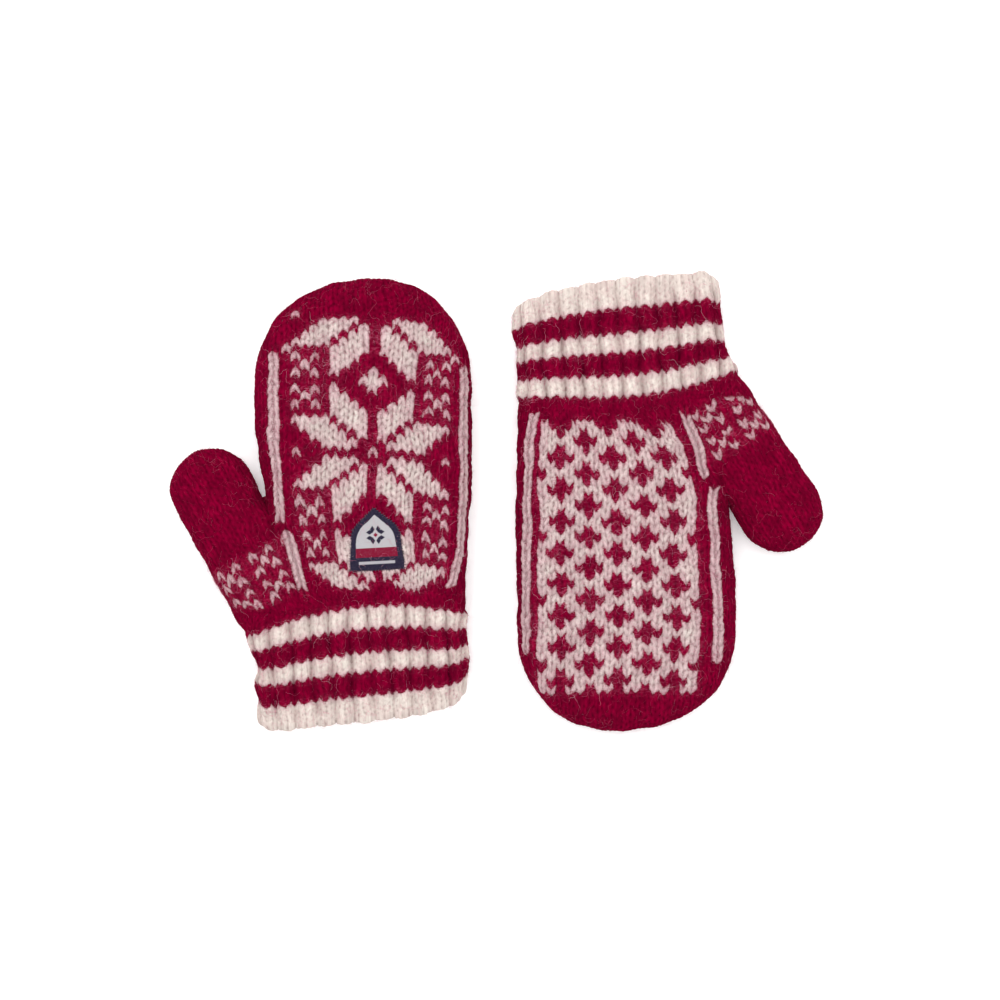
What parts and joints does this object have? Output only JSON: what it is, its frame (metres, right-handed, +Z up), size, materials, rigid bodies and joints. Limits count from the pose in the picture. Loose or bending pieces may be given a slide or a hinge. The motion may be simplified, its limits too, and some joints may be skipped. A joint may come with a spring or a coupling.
{
  "type": "pair of knitted mittens",
  "caption": "Pair of lined wool mittens lying flat, with ribbed striped cuffs, jacquard hands and a sewn patch; fingers, thumbs and cuffs bend.",
  "frame": {"origin": "middle of the pair's footprint on the surface they lie on", "axes": "+X from the right-hand mitten to the left-hand one, +Y along the right-hand mitten from its wrist to its fingertips, +Z up"},
  "size_m": [0.2715, 0.1935, 0.0212],
  "materials": {
    "knit_hand": "felted two-colour wool knit, crimson and off-white",
    "knit_cuff": "ribbed wool knit in crimson and cream bands",
    "fleece_lining": "matt brushed fleece",
    "seam_thread": "matt sewing thread",
    "woven_patch": "tightly woven satin-edged patch"
  },
  "bodies": {
    "right_palm": {"right_palm_shell": "knit_hand", "right_palm_lining": "fleece_lining", "right_patch": "woven_patch", "right_patch_stitches": "seam_thread"},
    "right_fingers": {"right_finger_shell": "knit_hand", "right_finger_lining": "fleece_lining"},
    "right_thumb": {"right_thumb_shell": "knit_hand", "right_thumb_lining": "fleece_lining"},
    "right_cuff": {"right_cuff_shell": "knit_cuff", "right_cuff_lining": "fleece_lining", "right_mouth_seam": "seam_thread"},
    "left_palm": {"left_palm_shell": "knit_hand", "left_palm_lining": "fleece_lining", "left_patch": "woven_patch", "left_patch_stitches": "seam_thread"},
    "left_fingers": {"left_finger_shell": "knit_hand", "left_finger_lining": "fleece_lining"},
    "left_thumb": {"left_thumb_shell": "knit_hand", "left_thumb_lining": "fleece_lining"},
    "left_cuff": {"left_cuff_shell": "knit_cuff", "left_cuff_lining": "fleece_lining", "left_mouth_seam": "seam_thread"}
  },
  "joints": [
    {"name": "left_lift", "type": "slide", "parent": "right_palm", "child": "left_palm", "axis": [0, 0, 1], "range_m": [0, 0.12]},
    {"name": "right_fingers_fold", "type": "hinge", "parent": "right_palm", "child": "right_fingers", "pos_m": [-0.0561, 0.0287, 0.02], "axis": [1, 0, 0], "range_deg": [0, 70]},
    {"name": "right_thumb_fold", "type": "hinge", "parent": "right_palm", "child": "right_thumb", "pos_m": [-0.1057, -0.0228, 0.02], "axis": [0.1924, 0.9813, 0], "range_deg": [0, 60]},
    {"name": "right_cuff_turn", "type": "hinge", "parent": "right_palm", "child": "right_cuff", "pos_m": [-0.0561, -0.0463, 0.02], "axis": [-0.9914, -0.1305, 0], "range_deg": [0, 60]},
    {"name": "left_fingers_fold", "type": "hinge", "parent": "left_palm", "child": "left_fingers", "pos_m": [0.055, -0.0308, 0.02], "axis": [-1, 0, 0], "range_deg": [0, 70]},
    {"name": "left_thumb_fold", "type": "hinge", "parent": "left_palm", "child": "left_thumb", "pos_m": [0.1046, 0.0207, 0.02], "axis": [-0.1924, -0.9813, 0], "range_deg": [0, 60]},
    {"name": "left_cuff_turn", "type": "hinge", "parent": "left_palm", "child": "left_cuff", "pos_m": [0.055, 0.0442, 0.02], "axis": [0.9914, 0.1305, 0], "range_deg": [0, 60]}
  ]
}
